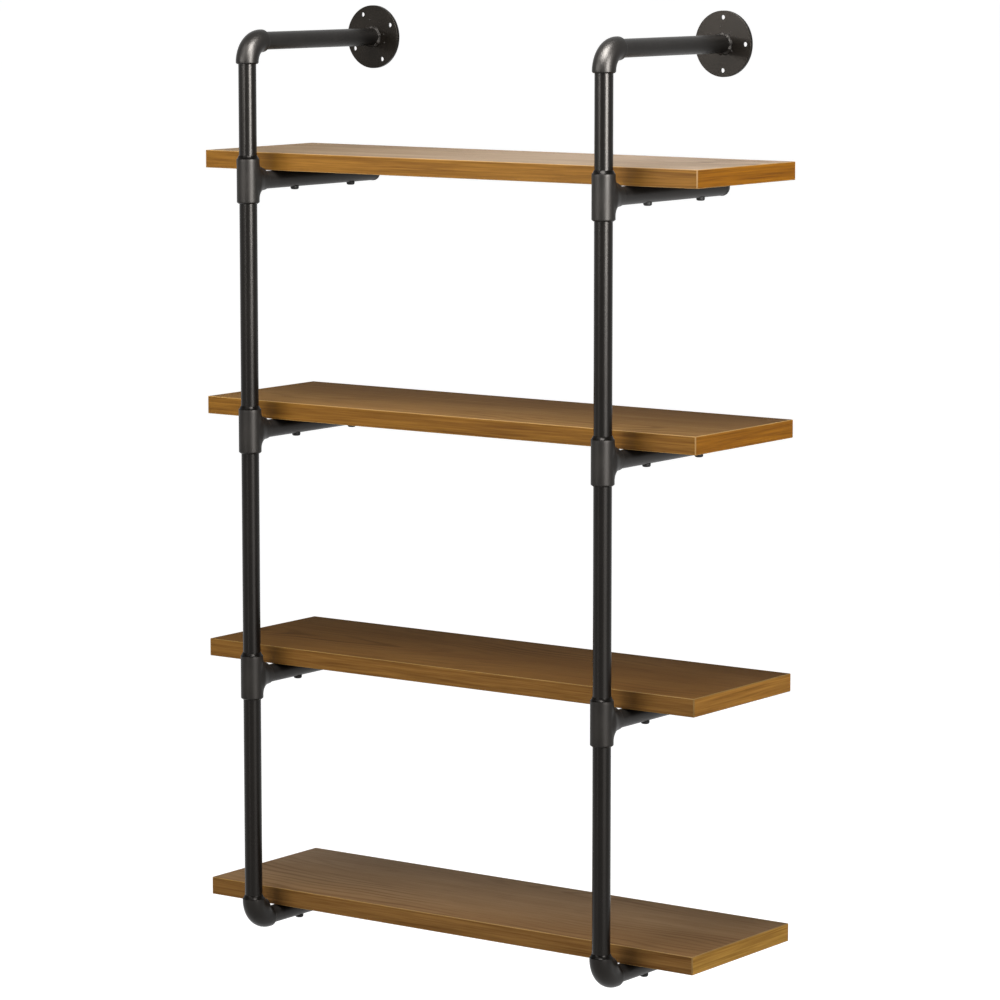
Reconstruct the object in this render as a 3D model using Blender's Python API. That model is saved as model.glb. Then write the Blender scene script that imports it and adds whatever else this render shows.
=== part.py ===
# Wall-mounted pipe bookshelf: four boards hung in front of a wall on two pipe uprights.
# Metres, +Z up, +Y towards the wall, +X to the right of someone facing the shelf.
# The origin is on the wall, midway between the two wall flanges, at the height of the top arms.

import math

import bmesh
import bpy
from mathutils import Matrix, Vector

# Boards
SHELF_COUNT = 4
SHELF_PITCH = 0.253             # top face of one board to the top face of the next
TOP_DROP = 0.1125               # axis of the top arms down to the first board's top face
BOARD_LENGTH = 0.600
BOARD_DEPTH = 0.175
BOARD_THICKNESS = 0.018
BAND_THICKNESS = 0.001          # strip glued round the four edges of each board
BAND_CORNER = 0.001             # rounding of the band's four upright corners
BOARD_WALL_GAP = 0.001          # wall to the board's back edge

# Pipes
TUBE_DIAMETER = 0.018
TUBE_WALL = 0.002
UPRIGHT_INSET = 0.0835          # board end to the upright's axis
UPRIGHT_STANDOFF = 0.034        # board front edge to the upright's axis
ARM_WALL_GAP = 0.003            # wall to the tip of a capped shelf arm

# Cast fittings
SOCKET_CLEARANCE = 0.0003       # between a pipe and its socket, all round
SOCKET_DEPTH = 0.010
BRANCH_SOCKET_DEPTH = 0.011     # of a fitting's rear socket, which takes the shelf arm or the top arm
SOCKET_STOP_WEB = 0.0035        # pipe radius to the stop that a pipe's end meets
FITTING_WALL = 0.0022
BRANCH_TAPER = 0.0016           # how much a tee's rear socket widens towards its sleeve
BRANCH_FILLET = 0.005           # cast fillet above and below a tee's rear socket
ELBOW_STRAIGHT = 0.003          # straight stretch at an elbow's upright end
RIM_ROUND = 0.0007              # broken edge of every rim
BRANCH_STATIONS = (0.0, 0.12, 0.3, 1.0)    # shares of the rear socket's length that get a ring of points
SLEEVE_FOOT_CHAMFER = 0.0015    # lower rim of a tee's sleeve

# Wall flanges
FLANGE_DIAMETER = 0.065
FLANGE_THICKNESS = 0.004
FLANGE_EDGE = 0.0006            # chamfer of the disc's front edge
FLANGE_HOLES = 4
FLANGE_HOLE_DIAMETER = 0.005
FLANGE_HOLE_MARGIN = 0.0065     # hole centre to the disc's edge
WELD_BEAD = 0.0025              # leg of the weld between disc and arm
WELD_CROWN = 0.6                # how far the bead's middle stands out, as a share of its leg
LEFT_FLANGE_TURN = math.radians(28.5)
RIGHT_FLANGE_TURN = 0.0

# Arm end caps
CAP_THICKNESS = 0.0025
CAP_STEM = 0.008

# Screws, two to an arm, driven up through the arm into the board
SCREW_INSET = 0.041             # board front or back edge to the screw's axis
SCREW_DIAMETER = 0.004
SCREW_BITE = 0.011              # length of screw inside the board
SCREW_TIP = 0.003
SCREW_HEAD_DIAMETER = 0.0085
SCREW_HEAD_HEIGHT = 0.0026
SCREW_HEAD_ROUND = 0.0012
SCREW_CLEARANCE = 0.0003        # round the shank, in the arm and in the board
PILOT_SPARE = 0.001             # pilot hole deeper than the screw's tip

# Facets and the gap that touching pieces keep
SEAT_GAP = 0.0003
FACETS = 20
SMALL_FACETS = 10
BEND_STEPS = 5
PASSAGE_STEPS = 2
SMOOTH_ANGLE = math.radians(32)

# Worked out from the sizes above
TUBE_RADIUS = TUBE_DIAMETER / 2
BORE_RADIUS = TUBE_RADIUS - TUBE_WALL
SOCKET_RADIUS = TUBE_RADIUS + SOCKET_CLEARANCE
FITTING_RADIUS = SOCKET_RADIUS + FITTING_WALL
STOP_DISTANCE = TUBE_RADIUS + SOCKET_STOP_WEB
FITTING_REACH = STOP_DISTANCE + SOCKET_DEPTH
BRANCH_REACH = STOP_DISTANCE + BRANCH_SOCKET_DEPTH
PIPE_STOP = STOP_DISTANCE + SEAT_GAP
UPRIGHT_X = BOARD_LENGTH / 2 - UPRIGHT_INSET
BOARD_BACK_Y = -BOARD_WALL_GAP
BOARD_FRONT_Y = BOARD_BACK_Y - BOARD_DEPTH
UPRIGHT_Y = BOARD_FRONT_Y - UPRIGHT_STANDOFF
SCREW_HOLE_RADIUS = SCREW_DIAMETER / 2 + SCREW_CLEARANCE
SCREW_ROWS = {"front": BOARD_FRONT_Y + SCREW_INSET, "rear": BOARD_BACK_Y - SCREW_INSET}
SIDES = {"left": -UPRIGHT_X, "right": UPRIGHT_X}
TURN_TO_Y = Matrix.Rotation(-math.pi / 2, 4, "X")      # lays a shape turned about +Z along +Y
TURN_TO_WALL = Matrix.Rotation(math.pi / 2, 4, "X")    # lays it along -Y, its base on the wall


def board_top(row):
    return -TOP_DROP - row * SHELF_PITCH


def arm_axis(row):
    return board_top(row) - BOARD_THICKNESS - SEAT_GAP - TUBE_RADIUS


def clear_scene():
    for old in list(bpy.data.objects):
        bpy.data.objects.remove(old, do_unlink=True)


def make_material(name, colour, roughness, metallic):
    material = bpy.data.materials.new(name)
    material.use_nodes = True
    shader = material.node_tree.nodes["Principled BSDF"]
    shader.inputs["Base Color"].default_value = (*colour, 1.0)
    shader.inputs["Roughness"].default_value = roughness
    shader.inputs["Metallic"].default_value = metallic
    material.diffuse_color = (*colour, 1.0)
    return material


def place(name, mesh, material, location=(0, 0, 0)):
    piece = bpy.data.objects.new(name, mesh)
    bpy.context.collection.objects.link(piece)
    piece.location = location
    if not mesh.materials:
        mesh.materials.append(material)
    return piece


def mesh_from(bm, name):
    bmesh.ops.recalc_face_normals(bm, faces=bm.faces)
    mesh = bpy.data.meshes.new(name)
    bm.to_mesh(mesh)
    bm.free()
    mesh.shade_smooth()
    mesh.set_sharp_from_angle(angle=SMOOTH_ANGLE)
    return mesh


def turned(name, profile, facets=FACETS, hollow=False):
    # profile is (radius, height) points, spun about +Z; a hollow one closes on itself
    bm = bmesh.new()
    points = [bm.verts.new((radius, 0, height)) for radius, height in profile]
    ends = points[1:] + points[:1] if hollow else points[1:]
    edges = [bm.edges.new(pair) for pair in zip(points, ends)]
    bmesh.ops.spin(bm, geom=points + edges, cent=(0, 0, 0), axis=(0, 0, 1), dvec=(0, 0, 0),
                   angle=2 * math.pi, steps=facets, use_merge=True, use_duplicate=False)
    bmesh.ops.remove_doubles(bm, verts=bm.verts, dist=1e-6)
    return mesh_from(bm, name)


def oval(centre, across, half_across, half_width):
    # one ring of points square to the path of a bent or tapered piece
    turn = 2 * math.pi / FACETS
    sideways = Vector((1, 0, 0))
    return [centre + across * half_across * math.cos(step * turn)
            + sideways * half_width * math.sin(step * turn) for step in range(FACETS)]


def joined_rings(name, rings, closed):
    # skin over a row of rings: closed joins the last to the first, else both ends are capped
    bm = bmesh.new()
    loops = [[bm.verts.new(point) for point in ring] for ring in rings]
    followers = loops[1:] + loops[:1] if closed else loops[1:]
    for loop, follower in zip(loops, followers):
        for step in range(FACETS):
            after = (step + 1) % FACETS
            bm.faces.new((loop[step], loop[after], follower[after], follower[step]))
    if not closed:
        bm.faces.new(loops[0])
        bm.faces.new(loops[-1])
    return mesh_from(bm, name)


def combined(name, base, steps):
    # base mesh after each (operation, mesh) step, as a mesh of its own
    body = bpy.data.objects.new(name, base)
    bpy.context.collection.objects.link(body)
    tools = []
    for operation, shape in steps:
        tool = bpy.data.objects.new(name + "_tool", shape)
        bpy.context.collection.objects.link(tool)
        tool.hide_render = True
        tool.display_type = "WIRE"
        tools.append(tool)
        modifier = body.modifiers.new(operation.lower(), "BOOLEAN")
        modifier.operation = operation
        modifier.solver = "EXACT"
        modifier.object = tool
    graph = bpy.context.evaluated_depsgraph_get()
    result = bpy.data.meshes.new_from_object(body.evaluated_get(graph))
    for used in [body] + tools:
        bpy.data.objects.remove(used, do_unlink=True)
    result.name = name
    result.materials.clear()
    result.shade_smooth()
    result.set_sharp_from_angle(angle=SMOOTH_ANGLE)
    return result


def block(name, low, high):
    bm = bmesh.new()
    bmesh.ops.create_cube(bm, size=1.0)
    size = Vector(high) - Vector(low)
    middle = (Vector(high) + Vector(low)) / 2
    bmesh.ops.scale(bm, vec=size, verts=bm.verts)
    bmesh.ops.translate(bm, vec=middle, verts=bm.verts)
    return mesh_from(bm, name)


def pipe_mesh(name, length):
    return turned(name, [(TUBE_RADIUS, 0), (TUBE_RADIUS, length), (BORE_RADIUS, length), (BORE_RADIUS, 0)],
                  hollow=True)


def board_mesh():
    # the core stands inside its edge band; its underside has one blind hole for each screw
    margin = BAND_THICKNESS + SEAT_GAP
    half = BOARD_LENGTH / 2 - margin
    core = block("board", (-half, BOARD_FRONT_Y + margin, -BOARD_THICKNESS), (half, BOARD_BACK_Y - margin, 0))
    depth = SCREW_BITE + PILOT_SPARE
    steps = []
    for x in SIDES.values():
        for y in SCREW_ROWS.values():
            pilot = turned("pilot", [(0, -depth), (SCREW_HOLE_RADIUS, -depth), (SCREW_HOLE_RADIUS, depth), (0, depth)],
                           SMALL_FACETS)
            pilot.transform(Matrix.Translation((x, y, -BOARD_THICKNESS)))
            steps.append(("DIFFERENCE", pilot))
    return combined("board", core, steps)


def band_mesh():
    # one strip round all four edges, mitred where its ends meet
    half = BOARD_LENGTH / 2
    bm = bmesh.new()
    ring = []
    for margin, corner in ((0, BAND_CORNER), (BAND_THICKNESS, 0)):
        for x_sign, y_sign in ((1, 1), (-1, 1), (-1, -1), (1, -1)):
            x = x_sign * (half - margin)
            y_edge = BOARD_BACK_Y - margin if y_sign > 0 else BOARD_FRONT_Y + margin
            first = (x, y_edge - y_sign * corner)
            second = (x - x_sign * corner, y_edge)
            ordered = (first, second) if x_sign * y_sign > 0 else (second, first)
            ring.append([bm.verts.new((px, py, 0)) for px, py in (ordered if corner else (first,))])
    outer = [point for pair in ring[:4] for point in pair]
    inner = [point for single in ring[4:] for point in single]
    for loop in (outer, inner):
        for point, after in zip(loop, loop[1:] + loop[:1]):
            bm.edges.new((point, after))
    bmesh.ops.bridge_loops(bm, edges=bm.edges)
    top = bmesh.ops.extrude_face_region(bm, geom=list(bm.faces))["geom"]
    raised = [part for part in top if isinstance(part, bmesh.types.BMVert)]
    bmesh.ops.translate(bm, vec=(0, 0, -BOARD_THICKNESS), verts=raised)
    return mesh_from(bm, "edge_band")


def shelf_arm_mesh():
    # a straight pipe from the fitting's stop to the cap, drilled right through for two screws
    start = UPRIGHT_Y + PIPE_STOP
    end = -ARM_WALL_GAP - CAP_THICKNESS - SEAT_GAP
    pipe = pipe_mesh("shelf_arm", end - start)
    pipe.transform(TURN_TO_Y)
    steps = []
    for y in SCREW_ROWS.values():
        drill = turned("drill", [(0, -TUBE_DIAMETER), (SCREW_HOLE_RADIUS, -TUBE_DIAMETER),
                                 (SCREW_HOLE_RADIUS, TUBE_DIAMETER), (0, TUBE_DIAMETER)], SMALL_FACETS)
        drill.transform(Matrix.Translation((0, y - start, 0)))
        steps.append(("DIFFERENCE", drill))
    return combined("shelf_arm", pipe, steps), start


def cap_mesh():
    # plug with a disc as wide as the pipe and a stem inside its bore
    stem = BORE_RADIUS - SEAT_GAP
    cap = turned("arm_cap", [(0, 0), (TUBE_RADIUS, 0), (TUBE_RADIUS, CAP_THICKNESS), (stem, CAP_THICKNESS),
                             (stem, CAP_THICKNESS + CAP_STEM), (0, CAP_THICKNESS + CAP_STEM)])
    cap.transform(TURN_TO_WALL)
    return cap


def screw_mesh():
    # pan head below, shank up; the origin is under the head
    shank = SCREW_DIAMETER / 2
    head = SCREW_HEAD_DIAMETER / 2
    length = SEAT_GAP + TUBE_DIAMETER + SEAT_GAP + SCREW_BITE
    return turned("screw", [(0, -SCREW_HEAD_HEIGHT), (head - SCREW_HEAD_ROUND, -SCREW_HEAD_HEIGHT),
                            (head, SCREW_HEAD_ROUND - SCREW_HEAD_HEIGHT), (head, 0), (shank, 0),
                            (shank, length - SCREW_TIP), (0, length)], SMALL_FACETS)


def elbow_mesh(name, upright_side):
    # bent casting: one socket along +Y for the arm, one along Z for the upright
    bend = FITTING_REACH - ELBOW_STRAIGHT
    passage = STOP_DISTANCE
    along_y = Vector((0, 1, 0))
    along_z = Vector((0, 0, upright_side))

    def bent(radius, angle, half):
        # ring on a quarter turn that leaves the upright's axis and ends on the arm's axis
        outward = -along_y * math.cos(angle) - along_z * math.sin(angle)
        middle = (along_y + along_z) * radius
        return oval(middle + outward * radius, outward, half, half)

    def on_upright(distance, half):
        return oval(along_z * distance, -along_y, half, half)

    def on_arm(distance, half):
        return oval(along_y * distance, -along_z, half, half)

    def quarter(steps):
        return [math.pi / 2 * step / steps for step in range(steps + 1)]

    outer = [on_upright(FITTING_REACH, FITTING_RADIUS - RIM_ROUND),
             on_upright(FITTING_REACH - RIM_ROUND, FITTING_RADIUS)]
    outer += [bent(bend, angle, FITTING_RADIUS) for angle in quarter(BEND_STEPS)]
    outer += [on_arm(BRANCH_REACH - RIM_ROUND, FITTING_RADIUS),
              on_arm(BRANCH_REACH, FITTING_RADIUS - RIM_ROUND)]
    inner = [on_arm(BRANCH_REACH, SOCKET_RADIUS), on_arm(STOP_DISTANCE, SOCKET_RADIUS)]
    inner += [bent(passage, angle, BORE_RADIUS) for angle in reversed(quarter(PASSAGE_STEPS))]
    inner += [on_upright(STOP_DISTANCE, SOCKET_RADIUS), on_upright(FITTING_REACH, SOCKET_RADIUS)]
    return joined_rings(name, outer + inner, closed=True)


def tee_mesh():
    # upright sleeve with a socket at each end, and a tapered rear socket with a cast fillet
    foot = FITTING_RADIUS - SLEEVE_FOOT_CHAMFER
    lip = FITTING_RADIUS - RIM_ROUND
    sleeve = turned("tee", [(0, -FITTING_REACH), (foot, -FITTING_REACH),
                            (FITTING_RADIUS, -FITTING_REACH + SLEEVE_FOOT_CHAMFER),
                            (FITTING_RADIUS, FITTING_REACH - RIM_ROUND), (lip, FITTING_REACH), (0, FITTING_REACH)])
    up = Vector((0, 0, 1))
    rings = [oval(Vector((0, 0, 0)), up, SOCKET_RADIUS, SOCKET_RADIUS)]
    rim = SOCKET_RADIUS + FITTING_WALL - RIM_ROUND
    run = BRANCH_REACH - RIM_ROUND - FITTING_RADIUS
    for share in BRANCH_STATIONS:
        y = FITTING_RADIUS + run * share
        rest = max(0.0, BRANCH_FILLET - run * share)
        fillet = BRANCH_FILLET - math.sqrt(BRANCH_FILLET ** 2 - rest ** 2)
        height = rim + BRANCH_TAPER * (1 - share) + fillet
        rings.append(oval(Vector((0, y, 0)), up, height, rim))
    rings.append(oval(Vector((0, BRANCH_REACH, 0)), up, rim - RIM_ROUND, rim - RIM_ROUND))
    branch = joined_rings("branch", rings, closed=False)
    past = FITTING_REACH + SOCKET_DEPTH
    bore = turned("bore", [(0, -past), (SOCKET_RADIUS, -past), (SOCKET_RADIUS, -STOP_DISTANCE),
                           (BORE_RADIUS, -STOP_DISTANCE), (BORE_RADIUS, STOP_DISTANCE),
                           (SOCKET_RADIUS, STOP_DISTANCE), (SOCKET_RADIUS, past), (0, past)])
    past_branch = BRANCH_REACH + SOCKET_DEPTH
    side_bore = turned("side_bore", [(0, 0), (BORE_RADIUS - SEAT_GAP, 0), (BORE_RADIUS - SEAT_GAP, STOP_DISTANCE),
                                     (SOCKET_RADIUS, STOP_DISTANCE), (SOCKET_RADIUS, past_branch),
                                     (0, past_branch)])
    side_bore.transform(TURN_TO_Y)
    return combined("tee", sleeve, [("UNION", branch), ("DIFFERENCE", bore), ("DIFFERENCE", side_bore)])


def wall_arm_mesh(name, flange_turn):
    # wall disc and top arm, welded into one piece; the arm's bore is open at the elbow
    disc = FLANGE_DIAMETER / 2
    length = -UPRIGHT_Y - PIPE_STOP
    crown = WELD_BEAD * WELD_CROWN
    body = turned(name, [(0, 0), (disc, 0), (disc, FLANGE_THICKNESS - FLANGE_EDGE),
                         (disc - FLANGE_EDGE, FLANGE_THICKNESS), (TUBE_RADIUS + WELD_BEAD, FLANGE_THICKNESS),
                         (TUBE_RADIUS + crown, FLANGE_THICKNESS + crown),
                         (TUBE_RADIUS, FLANGE_THICKNESS + WELD_BEAD), (TUBE_RADIUS, length),
                         (BORE_RADIUS, length), (BORE_RADIUS, FLANGE_THICKNESS), (0, FLANGE_THICKNESS)])
    hole = FLANGE_HOLE_DIAMETER / 2
    circle = disc - FLANGE_HOLE_MARGIN
    steps = []
    for step in range(FLANGE_HOLES):
        angle = flange_turn + math.pi / 2 + step * 2 * math.pi / FLANGE_HOLES
        drill = turned("drill", [(0, -FLANGE_THICKNESS), (hole, -FLANGE_THICKNESS),
                                 (hole, 2 * FLANGE_THICKNESS), (0, 2 * FLANGE_THICKNESS)], SMALL_FACETS)
        drill.transform(Matrix.Translation((circle * math.cos(angle), circle * math.sin(angle), 0)))
        steps.append(("DIFFERENCE", drill))
    mesh = combined(name, body, steps)
    mesh.transform(TURN_TO_WALL)
    return mesh


def build():
    clear_scene()
    oak = make_material("oak_laminate", (0.20, 0.115, 0.055), 0.45, 0.0)
    band = make_material("oak_edge_band", (0.36, 0.20, 0.075), 0.5, 0.0)
    tube_paint = make_material("tube_paint", (0.035, 0.032, 0.030), 0.35, 0.3)
    cast_paint = make_material("cast_paint", (0.045, 0.042, 0.040), 0.5, 0.3)
    cap_plastic = make_material("cap_plastic", (0.015, 0.015, 0.015), 0.6, 0.0)
    screw_black = make_material("screw_black", (0.02, 0.02, 0.02), 0.4, 0.6)

    board = board_mesh()
    edge = band_mesh()
    arm, arm_start = shelf_arm_mesh()
    cap = cap_mesh()
    screw = screw_mesh()
    tee = tee_mesh()
    top_elbow = elbow_mesh("top_elbow", -1)
    bottom_elbow = elbow_mesh("bottom_elbow", 1)
    flange_turns = {"left": LEFT_FLANGE_TURN, "right": RIGHT_FLANGE_TURN}

    for row in range(SHELF_COUNT):
        place(f"shelf_board_{row + 1}", board, oak, (0, 0, board_top(row)))
        place(f"edge_band_{row + 1}", edge, band, (0, 0, board_top(row)))

    for side, x in SIDES.items():
        wall_arm = wall_arm_mesh(f"{side}_wall_arm", flange_turns[side])
        place(f"{side}_wall_flange_arm", wall_arm, tube_paint, (x, 0, 0))
        place(f"{side}_top_elbow", top_elbow, cast_paint, (x, UPRIGHT_Y, 0))
        upper_end = -PIPE_STOP
        for row in range(SHELF_COUNT):
            axis = arm_axis(row)
            lower_end = axis + PIPE_STOP
            number = row + 1
            upright = pipe_mesh(f"{side}_upright_{number}", upper_end - lower_end)
            place(f"{side}_upright_{number}", upright, tube_paint, (x, UPRIGHT_Y, lower_end))
            upper_end = axis - PIPE_STOP
            if row < SHELF_COUNT - 1:
                place(f"{side}_tee_{number}", tee, cast_paint, (x, UPRIGHT_Y, axis))
            else:
                place(f"{side}_bottom_elbow", bottom_elbow, cast_paint, (x, UPRIGHT_Y, axis))
            place(f"{side}_shelf_arm_{number}", arm, tube_paint, (x, arm_start, axis))
            place(f"{side}_arm_cap_{number}", cap, cap_plastic, (x, -ARM_WALL_GAP, axis))
            head_seat = axis - TUBE_RADIUS - SEAT_GAP
            for end, y in SCREW_ROWS.items():
                place(f"{side}_{end}_screw_{number}", screw, screw_black, (x, y, head_seat))


build()
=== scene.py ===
# Looks of the wall-mounted pipe bookshelf: four wood-print boards on two black pipe uprights.
# Metres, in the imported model's frame: wall at y = 0, front at -Y, top arms at z = 0.

import math
import random

import bmesh
import bpy
from mathutils import Matrix, Vector, noise


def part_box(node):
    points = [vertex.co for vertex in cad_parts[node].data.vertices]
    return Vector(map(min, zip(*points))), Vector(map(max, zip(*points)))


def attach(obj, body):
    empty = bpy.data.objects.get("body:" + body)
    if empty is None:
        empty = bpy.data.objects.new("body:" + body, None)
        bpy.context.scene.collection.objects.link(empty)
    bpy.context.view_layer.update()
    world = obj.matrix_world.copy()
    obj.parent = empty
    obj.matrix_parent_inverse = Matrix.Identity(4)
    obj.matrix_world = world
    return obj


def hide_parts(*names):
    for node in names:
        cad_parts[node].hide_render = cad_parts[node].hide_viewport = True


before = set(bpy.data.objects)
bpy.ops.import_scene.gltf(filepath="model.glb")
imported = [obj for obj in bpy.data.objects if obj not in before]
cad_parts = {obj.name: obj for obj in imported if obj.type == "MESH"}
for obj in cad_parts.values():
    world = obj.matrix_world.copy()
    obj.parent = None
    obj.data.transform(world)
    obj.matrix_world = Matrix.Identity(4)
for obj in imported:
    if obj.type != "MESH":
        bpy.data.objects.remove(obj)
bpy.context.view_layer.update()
print("frame loaded:", len(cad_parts), "nodes")

mm = 0.001
tiny = 1e-6  # less than this counts as nothing
mergeDistance = 1e-7  # points nearer than this are one
sharpDegrees = 40  # edges that bend more than this are shaded sharp
rowCount = sum(name.startswith("shelf_board_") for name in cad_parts)
sides = ("left", "right")
finishes = {}  # the pieces' materials by name


def nodeCentre(node):
    low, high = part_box(node)
    return (low + high) / 2


def nodeRadius(node):
    # half of its width along X
    low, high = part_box(node)
    return (high.x - low.x) / 2


def newObject(name, data):
    made = bpy.data.objects.new(name, data)
    bpy.context.scene.collection.objects.link(made)
    return made


# Camera

cameraSettings = {
    "location": (2.5055, -3.5537, 0.1229),  # fitted to the boards' corners in the photograph
    "yaw": 35.781,  # degrees to the left of straight at the wall
    "pitch": 7.756,  # degrees down
    "lens": 153.98,
}


def makeCamera(settings):
    data = bpy.data.cameras.new("viewCamera")
    data.lens = settings["lens"]
    camera = newObject("viewCamera", data)
    camera.location = settings["location"]
    camera.rotation_euler = (math.radians(90 - settings["pitch"]), 0, math.radians(settings["yaw"]))
    bpy.context.scene.camera = camera


makeCamera(cameraSettings)
print("camera placed")


# Mesh helpers

def meshFrom(bm, name, sharpAngle=sharpDegrees):
    bmesh.ops.recalc_face_normals(bm, faces=bm.faces)
    mesh = bpy.data.meshes.new(name)
    bm.to_mesh(mesh)
    bm.free()
    mesh.shade_smooth()
    mesh.set_sharp_from_angle(angle=math.radians(sharpAngle))
    return mesh


def addPiece(name, mesh, materials, nodes, location=(0, 0, 0)):
    piece = newObject(name, mesh)
    piece.location = location
    if not mesh.materials:
        for material in materials:
            mesh.materials.append(finishes[material])
    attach(piece, "root")
    if nodes:
        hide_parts(*nodes)


def roundedProfile(corners, steps=4):
    # corners are (radius, height, rounding); every rounded corner turns into a tangent arc
    points = []
    count = len(corners)
    for index, (radius, height, rounding) in enumerate(corners):
        here = Vector((radius, height))
        if not rounding:
            points.append(here)
            continue
        before = (Vector(corners[index - 1][:2]) - here).normalized()
        after = (Vector(corners[(index + 1) % count][:2]) - here).normalized()
        half = before.angle(after) / 2
        centre = here + (before + after).normalized() * rounding / math.sin(half)
        first = here + before * rounding / math.tan(half) - centre
        last = here + after * rounding / math.tan(half) - centre
        sweep = first.angle_signed(last)
        for step in range(steps + 1):
            turn = Matrix.Rotation(-sweep * step / steps, 2)
            points.append(centre + turn @ first)
    return points


def turnedMesh(name, profile, facets, closed=False):
    # profile of (radius, height) points spun about +Z; closed joins its last point to its first
    bm = bmesh.new()
    points = [bm.verts.new((radius, 0, height)) for radius, height in profile]
    followers = points[1:] + points[:1] if closed else points[1:]
    edges = [bm.edges.new(pair) for pair in zip(points, followers)]
    bmesh.ops.spin(bm, geom=points + edges, cent=(0, 0, 0), axis=(0, 0, 1), dvec=(0, 0, 0),
                   angle=2 * math.pi, steps=facets, use_merge=True, use_duplicate=False)
    bmesh.ops.remove_doubles(bm, verts=bm.verts, dist=mergeDistance)
    return meshFrom(bm, name)


def joinLoops(bm, loop, follower, leftOut=()):
    # quads from a closed loop of points to the next one, but for the columns left out
    faces = []
    for index in range(len(loop)):
        if index in leftOut:
            continue
        after = (index + 1) % len(loop)
        faces.append(bm.faces.new((loop[index], loop[after], follower[after], follower[index])))
    return faces


def cutMesh(base, cutters, name):
    # base mesh less the cutter meshes; its faces that look straight up or down stay flat
    flatFacing = 0.9999
    body = newObject(name, base)
    tools = []
    for cutter in cutters:
        tool = newObject(name + "Cutter", cutter)
        tools.append(tool)
        modifier = body.modifiers.new("cut", "BOOLEAN")
        modifier.operation = "DIFFERENCE"
        modifier.solver = "EXACT"
        modifier.object = tool
    graph = bpy.context.evaluated_depsgraph_get()
    result = bpy.data.meshes.new_from_object(body.evaluated_get(graph))
    for used in [body] + tools:
        bpy.data.objects.remove(used, do_unlink=True)
    result.name = name
    result.materials.clear()
    result.shade_smooth()
    result.set_sharp_from_angle(angle=math.radians(sharpDegrees))
    for face in result.polygons:
        face.use_smooth = abs(face.normal.z) < flatFacing
    return result


def drilledMesh(body, name, profile, facets, places):
    # the body less a turned hole at each (x, y)
    drills = []
    for x, y in places:
        drill = turnedMesh("drill", profile, facets)
        drill.transform(Matrix.Translation((x, y, 0)))
        drills.append(drill)
    return cutMesh(body, drills, name)


# Material helpers

def addNode(tree, kind, inputs=None, **settings):
    # a new node's outputs
    made = tree.nodes.new("ShaderNode" + kind)
    for key, value in settings.items():
        setattr(made, key, value)
    for socket, value in (inputs or {}).items():
        if isinstance(value, bpy.types.NodeSocket):
            tree.links.new(value, made.inputs[socket])
        else:
            made.inputs[socket].default_value = value
    return made.outputs


def newMaterial(name, constants):
    # a material's tree, shader and place on the piece; constants go straight on the shader
    material = bpy.data.materials.new(name)
    material.use_nodes = True
    finishes[name] = material
    tree = material.node_tree
    shader = tree.nodes["Principled BSDF"]
    for socket, value in constants.items():
        shader.inputs[socket].default_value = value
    return tree, shader, addNode(tree, "TexCoord")["Object"]


def mathNode(tree, operation, first, second=0.0):
    return addNode(tree, "Math", {0: first, 1: second}, operation=operation)[0]


def vectorNode(tree, operation, first, second):
    # a scaling takes its factor on a socket of its own
    socket = "Scale" if operation == "SCALE" else 1
    return addNode(tree, "VectorMath", {0: first, socket: second}, operation=operation)[0]


def noiseAt(tree, vector, scale, detail=3.0, roughness=0.5, output="Fac"):
    values = {"Vector": vector, "Scale": scale, "Detail": detail, "Roughness": roughness}
    return addNode(tree, "TexNoise", values)[output]


def stretched(tree, vector, scale, offset=(0, 0, 0)):
    return addNode(tree, "Mapping", {"Vector": vector, "Scale": scale, "Location": offset})["Vector"]


def grainAt(tree, vector, density, detail=3.0, roughness=0.5, offset=(0, 0, 0), output="Fac"):
    # noise with its own number of grains to a metre along each axis
    return noiseAt(tree, stretched(tree, vector, density, offset), 1.0, detail, roughness, output)


def remapped(tree, value, start, target=(0.0, 1.0)):
    values = {"Value": value, "From Min": start[0], "From Max": start[1],
              "To Min": target[0], "To Max": target[1]}
    return addNode(tree, "MapRange", values)["Result"]


def asColour(value):
    return value if isinstance(value, bpy.types.NodeSocket) else (*value, 1.0)


def mixed(tree, factor, first, second, blend="MIX"):
    # sockets 6 and 7 are a colour mix's two colours, and 2 is its result
    inputs = {0: factor, 6: asColour(first), 7: asColour(second)}
    return addNode(tree, "Mix", inputs, data_type="RGBA", blend_type=blend)[2]


def mixedTones(tree, first, second, share):
    # a weighted sum of two tones; share is the first one's weight
    return mathNode(tree, "ADD", mathNode(tree, "MULTIPLY", first, share),
                    mathNode(tree, "MULTIPLY", second, 1 - share))


def colourFrom(tree, shader, colour, tint=None):
    if tint is not None:
        colour = mixed(tree, 1.0, colour, tint, "MULTIPLY")
    tree.links.new(colour, shader.inputs["Base Color"])


def bumped(tree, shader, height, distance):
    bump = addNode(tree, "Bump", {"Height": height, "Distance": distance})
    tree.links.new(bump["Normal"], shader.inputs["Normal"])


# Painted steel and castings

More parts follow.
